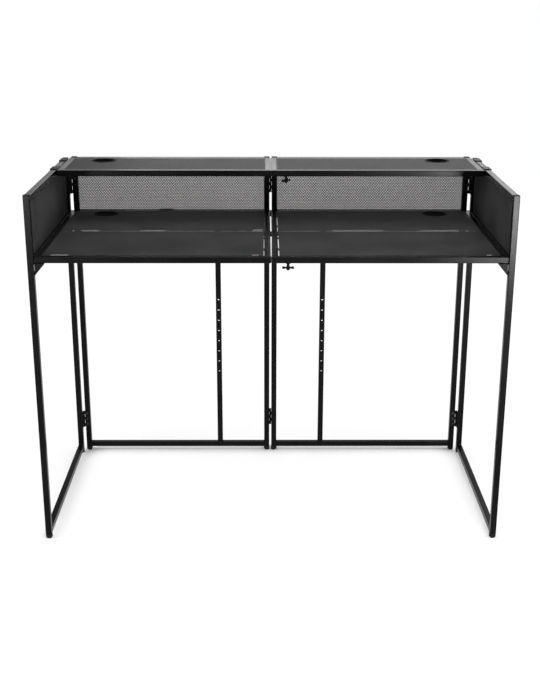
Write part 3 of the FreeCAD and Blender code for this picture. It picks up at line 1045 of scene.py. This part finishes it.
@dataclass
class WingBolt:
    """Moulded wing bolt under a front rail: flange, waisted neck, two ears and a screw.

    Each ring of the hub is a factor on the radius and a step down in millimetres. Each ring of an ear is a step
    outward in millimetres and factors on its width and height.
    """

    node: str
    body: str
    turn: float = 0.0
    flange_r: float = 9.0 * MM
    flange_thick: float = 1.4 * MM
    hub_sides: int = 32
    hub_rings: Sequence[tuple[float, float]] = (
        (0.86, 1.0), (0.62, 1.2), (0.88, 1.6), (1.02, 1.8), (1.14, 2.6), (1.10, 3.2), (1.02, 8.0), (0.92, 1.8),
        (0.62, 1.4))
    ear_start: float = 3.0 * MM
    ear_drop: float = 15.8 * MM
    ear_size: Point = (4.0 * MM, 5.4 * MM, 7.0 * MM)
    ear_rings: Sequence[Point] = ((4.0, 0.78, 0.92), (4.0, 1.02, 1.42), (3.6, 1.05, 1.12), (2.4, 0.72, 0.62))
    ear_levels: int = 2
    voxel: float = 0.45 * MM
    polish: float = 0.5
    polish_rounds: int = 6
    screw_r: float = 3.0 * MM
    screw_rise: float = 9.6 * MM
    screw_sides: int = 24
    screw_start: float = 0.6 * MM
    screw_sink: float = 0.1 * MM
    plain_length: float = 1.0 * MM
    threads: int = 8
    root_share: float = 0.86
    tip_length: float = 0.6 * MM
    tip_share: float = 0.6

    def seat(self) -> Point:
        """Middle of the flange's upper face, below the screw's tip."""
        low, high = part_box(self.node)
        return (low.x + high.x) / 2, (low.y + high.y) / 2, high.z - self.screw_rise

    def hub(self) -> MeshPiece:
        """Draw the hub down from its flange, ring by ring.

        Returns:
            The hub.
        """
        clear_selection()
        bpy.ops.mesh.primitive_cylinder_add(vertices=self.hub_sides, radius=self.flange_r, depth=self.flange_thick,
                                            location=(0.0, 0.0, -self.flange_thick / 2))
        piece = MeshPiece(self.node + "_moulding")
        piece.settle(tuple(piece.obj.location))
        piece.pick_faces(lambda place, normal: normal.z < -FACING)
        with piece.editing():
            for share, step in self.hub_rings:
                piece.draw((0.0, 0.0, -step * MM), (share, share, 1.0))
        return piece

    def ear(self, sign: int) -> MeshPiece:
        """Make one ear: a slab drawn out from the hub, spread and rounded.

        Args:
            sign: Which way along X it points.

        Returns:
            The ear.
        """
        clear_selection()
        bpy.ops.mesh.primitive_cube_add(size=1.0, location=(sign * self.ear_start, 0.0, -self.ear_drop))
        piece = MeshPiece(self.node + "_ear")
        piece.obj.scale = self.ear_size
        piece.settle(tuple(piece.obj.location))
        piece.pick_faces(lambda place, normal: normal.x * sign > FACING)
        with piece.editing():
            for step, wide, tall in self.ear_rings:
                piece.draw((sign * step * MM, 0.0, 0.0), (1.0, wide, tall))
        piece.modify("SUBSURF", levels=self.ear_levels, render_levels=self.ear_levels)
        return piece

    def screw(self) -> MeshPiece:
        """Make the screw with its run of thread rings.

        Returns:
            The screw.
        """
        clear_selection()
        bpy.ops.mesh.primitive_cylinder_add(
            vertices=self.screw_sides, radius=self.screw_r * self.root_share, depth=self.screw_start,
            location=(0.0, 0.0, -self.screw_sink))
        piece = MeshPiece(self.node + "_screw")
        piece.settle(tuple(piece.obj.location))
        step = (self.screw_rise - self.plain_length) / self.threads
        piece.pick_faces(lambda place, normal: normal.z > FACING)
        with piece.editing():
            for _ in range(self.threads):
                for share in (1 / self.root_share, self.root_share):
                    piece.draw((0.0, 0.0, step / 2), (share, share, 1.0))
            piece.draw((0.0, 0.0, self.tip_length), (self.tip_share, self.tip_share, 1.0))
        return piece

    def build(self, shop: Paintshop) -> None:
        """Weld the hub and its ears into one moulding, add the screw and dress both.

        Args:
            shop: Where the material comes from.
        """
        hub = self.hub()
        ears = [self.ear(sign) for sign in (-1, 1)]
        join(hub.obj, [ear.obj for ear in ears])
        hub.modify("REMESH", mode="VOXEL", voxel_size=self.voxel)
        hub.modify("SMOOTH", factor=self.polish, iterations=self.polish_rounds)
        screw = self.screw()
        for piece, slot in ((hub, "moulded_plastic"), (screw, "plated_steel")):
            piece.settle(self.seat(), (0.0, 0.0, self.turn))
            piece.smooth()
            shop.dress(piece.obj, slot, self.body)
            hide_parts(self.node)


# Sub-assemblies


@dataclass
class FacadePanel:
    """Front panel of one side, with its perforated facade."""

    side: Side

    def build(self, shop: Paintshop) -> None:
        """Make the facade's sheet."""
        word = self.side.word
        PerforatedSheet(f"{word}_front_sheet", f"{word}_front", Lie.ACROSS).build(shop)


@dataclass
class Wing:
    """Hinged wing of one side, with its perforated sheet."""

    side: Side

    def build(self, shop: Paintshop) -> None:
        """Make the wing's sheet."""
        word = self.side.word
        PerforatedSheet(f"{word}_wing_sheet", f"{word}_wing", Lie.ALONG).build(shop)


# Stretches of the table's sheets with slots: both ends along X in millimetres, and the rows
SLOTS = {
    (Side.LEFT, "rear_sheet"): (
        (-705, -28, (2,)), (-673, -661, (3,)), (-645, -581, (3, 5)), (-445, -360, (3, 5)), (-60, -28, (3, 5, 6))),
    (Side.LEFT, "front_sheet"): ((-686, -632, (1, 2)), (-60, -40, (1, 2))),
    (Side.RIGHT, "rear_sheet"): ((28, 705, (2,)), (211, 380, (3, 5)), (506, 640, (3, 5)), (658, 670, (3,))),
    (Side.RIGHT, "front_sheet"): ((670, 686, (1, 2)),),
}


@dataclass
class Tops:
    """Shelf and table of one side, with their perforated boards."""

    side: Side
    pitch: float = 6.6 * MM
    hole_side: float = 1.8 * MM
    hole_shape: tuple[float, float] = (1.0, 1.0)
    side_border: float = 3.0 * MM

    def slots(self, sheet: str) -> list[Slot]:
        """Stretches of holes that are drawn out into slots beside the seam and the front rail.

        Args:
            sheet: The rest of the table sheet's node name.

        Returns:
            The two ends along X and the row of each stretch.
        """
        return [(start * MM, end * MM, row) for start, end, rows in SLOTS[self.side, sheet] for row in rows]

    def port(self, kind: str) -> tuple[float, float]:
        """Centre of the grommet in the shelf or the table."""
        low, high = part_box(f"{self.side.word}_{kind}_grommet")
        return (low.x + high.x) / 2, (low.y + high.y) / 2

    def board(self, kind: str, sheet: str, with_port: bool, strips: int) -> PerforatedSheet:
        """Board of the shelf or the table.

        Args:
            kind: Which top it belongs to.
            sheet: The rest of its node's name.
            with_port: Whether the grommet goes through it.
            strips: Number of pieces that it is made in.

        Returns:
            The board, yet to be built.
        """
        word = self.side.word
        port = self.port(kind) if with_port else None
        slots = self.slots(sheet) if kind == "table" else ()
        return PerforatedSheet(f"{word}_{kind}_{sheet}", f"{word}_{kind}", Lie.LEVEL, port, strips=strips,
                               pitch=self.pitch, hole_side=self.hole_side, hole_shape=self.hole_shape,
                               side_border=self.side_border, slots=slots)

    def build(self, shop: Paintshop) -> None:
        """Make the shelf's board and the table's two boards.

        Args:
            shop: Where their material comes from.
        """
        self.board("shelf", "sheet", True, 1).build(shop)
        self.board("table", "rear_sheet", True, 2).build(shop)
        self.board("table", "front_sheet", False, 2).build(shop)


# Studio


@dataclass
class SoftBox:
    """Soft rectangular lamp that looks at a point of the stand."""

    name: str
    place: Point
    target: Point
    width: float
    height: float
    power: float

    def build(self) -> None:
        """Add the lamp."""
        clear_selection()
        bpy.ops.object.light_add(type="AREA", location=self.place)
        lamp = bpy.context.object
        lamp.name = self.name
        lamp.data.shape = "RECTANGLE"
        lamp.data.size = self.width
        lamp.data.size_y = self.height
        lamp.data.energy = self.power
        lamp.visible_camera = False
        aim = Vector(self.target) - Vector(self.place)
        lamp.rotation_euler = aim.to_track_quat("-Z", "Y").to_euler()
        LOG.info("lamp %s", self.name)


@dataclass
class Studio:
    """Pale floor with a contact shadow, partly painted by an occlusion mask and partly its real shadows, white
    surroundings, dark cards and soft lamps.
    """

    floor_r: float = 7.0
    floor_sides: int = 96
    floor_albedo: float = 0.9
    near_share: float = 0.82
    near_r: float = 1.1
    far_r: float = 2.4
    glow: float = 1.06
    fill: float = 0.2
    contact_reach: float = 0.10
    contact_dark: float = 0.42
    contact_samples: int = 16
    card_albedo: float = 0.02
    cards: Sequence[tuple[Point, float, float]] = (
        ((0.0, -4.05, 1.66), 9.0, 3.08),
        ((0.0, 9.0, 6.0), 26.0, 4.4),
    )
    lamps: Sequence[SoftBox] = (
        SoftBox("top_lamp", (0.4, -0.6, 3.6), (0.0, 0.0, 0.8), 3.0, 2.4, 106.0),
        SoftBox("back_lamp", (0.65, 3.0, 2.3), (0.0, 0.2, 1.1), 3.4, 1.2, 29.0),
        SoftBox("right_lamp", (1.5, -3.5, 0.55), (0.74, -0.4, 1.0), 0.45, 0.6, 110.0),
        SoftBox("left_lamp", (-1.74, -3.5, 0.8), (-0.74, -0.4, 1.0), 0.7, 0.7, 48.0),
        SoftBox("right_side_lamp", (3.2, -0.8, 1.6), (0.5, -0.2, 0.9), 1.2, 1.6, 43.0),
        SoftBox("left_side_lamp", (-3.2, -0.8, 1.6), (-0.5, -0.2, 0.9), 1.2, 1.6, 72.0),
    )

    def floor(self) -> None:
        """Lay the floor: pale, with its own glow for rays that see it; an occlusion mask takes the glow away near
        the stand, which paints contact shade and lets the matt floor's own lit shadows show at the feet.
        """
        clear_selection()
        bpy.ops.mesh.primitive_circle_add(vertices=self.floor_sides, radius=self.floor_r, fill_type="NGON")
        piece = MeshPiece("floor")
        material, graph = new_material("floor")
        matt = graph.node("ShaderNodeBsdfDiffuse", None, {"Color": grey(self.floor_albedo)})
        glow = graph.node("ShaderNodeEmission", None, {"Color": grey(1.0), "Strength": self.glow})
        reach = graph.node("ShaderNodeVectorMath", {"operation": "LENGTH"}, {0: graph.place()})
        far = Value(graph, reach.outputs["Value"]).rise(self.near_r, self.far_r)
        # Painted contact shade: an ambient-occlusion mask takes the glow away beside the rails and feet, so the
        # floor darkens there; the matt floor's real lit shadows show through in the same places.
        occlusion = graph.node("ShaderNodeAmbientOcclusion", {"samples": self.contact_samples},
                               {"Distance": self.contact_reach})
        clear = Value(graph, occlusion.outputs["AO"]).rise(self.contact_dark, 1.0)
        share = graph.ray() * clear * (self.near_share + far * (1.0 - self.near_share))
        graph.surface(graph.node("ShaderNodeMixShader", None, {0: share, 1: matt.outputs[0], 2: glow.outputs[0]}))
        piece.obj.data.materials.append(material)

    def dark_cards(self) -> None:
        """Stand dark cards round the set, seen only in reflections and by the light that they keep away."""
        material, graph = new_material("dark_card")
        graph.surface(graph.node("ShaderNodeBsdfDiffuse", None, {"Color": grey(self.card_albedo)}))
        for place, width, height in self.cards:
            clear_selection()
            bpy.ops.mesh.primitive_plane_add(size=1.0)
            piece = MeshPiece("dark_card")
            piece.obj.scale = (width, height, 1.0)
            piece.settle(place, Lie.ACROSS.value)
            piece.obj.data.materials.append(material)
            piece.obj.visible_camera = False

    def surroundings(self) -> None:
        """Make the world white for rays that see it and softer for the light that it sheds."""
        world = bpy.data.worlds.new("surroundings")
        bpy.context.scene.world = world
        world.use_nodes = True
        graph = Graph(world.node_tree)
        strength = self.fill + graph.ray() * (1.0 - self.fill)
        graph.surface(graph.node("ShaderNodeBackground", None, {"Color": grey(1.0), "Strength": strength}))

    def build(self) -> None:
        """Lay the floor, stand the cards, make the surroundings and hang the lamps."""
        self.floor()
        self.dark_cards()
        self.surroundings()
        for lamp in self.lamps:
            lamp.build()
        bpy.context.scene.view_settings.view_transform = "Standard"


@dataclass
class PhotoCamera:
    """Camera at the performer's side, at the photograph's angle."""

    place: Point = (-0.0187, -3.7765, 1.8087)
    turn: Point = (RIGHT_ANGLE - 0.3273, -0.0016, -0.0049)
    lens: float = 58.29
    shift: tuple[float, float] = (-0.00187, 0.00417)

    def build(self) -> None:
        """Add the camera and make it the scene's own."""
        clear_selection()
        bpy.ops.object.camera_add(location=self.place, rotation=self.turn)
        camera = bpy.context.object
        camera.data.lens = self.lens
        camera.data.shift_x, camera.data.shift_y = self.shift
        bpy.context.scene.camera = camera


# Assembly


def main() -> None:
    """Dress the CAD nodes, add the new pieces and set the studio and the camera."""
    logging.basicConfig(level=logging.INFO, format="%(name)s: %(message)s")
    shop = Paintshop()
    shop.dress_frame()
    for side in Side:
        FacadePanel(side).build(shop)
        Wing(side).build(shop)
        Tops(side).build(shop)
        FrameWelds(side).build(shop)
    bolts = (
        WingBolt("shelf_wing_bolt", "shelf_bolt", math.radians(35)),
        WingBolt("table_wing_bolt", "table_bolt"),
    )
    for bolt in bolts:
        bolt.build(shop)
    Studio().build()
    PhotoCamera().build()


if __name__ == "__main__":
    main()
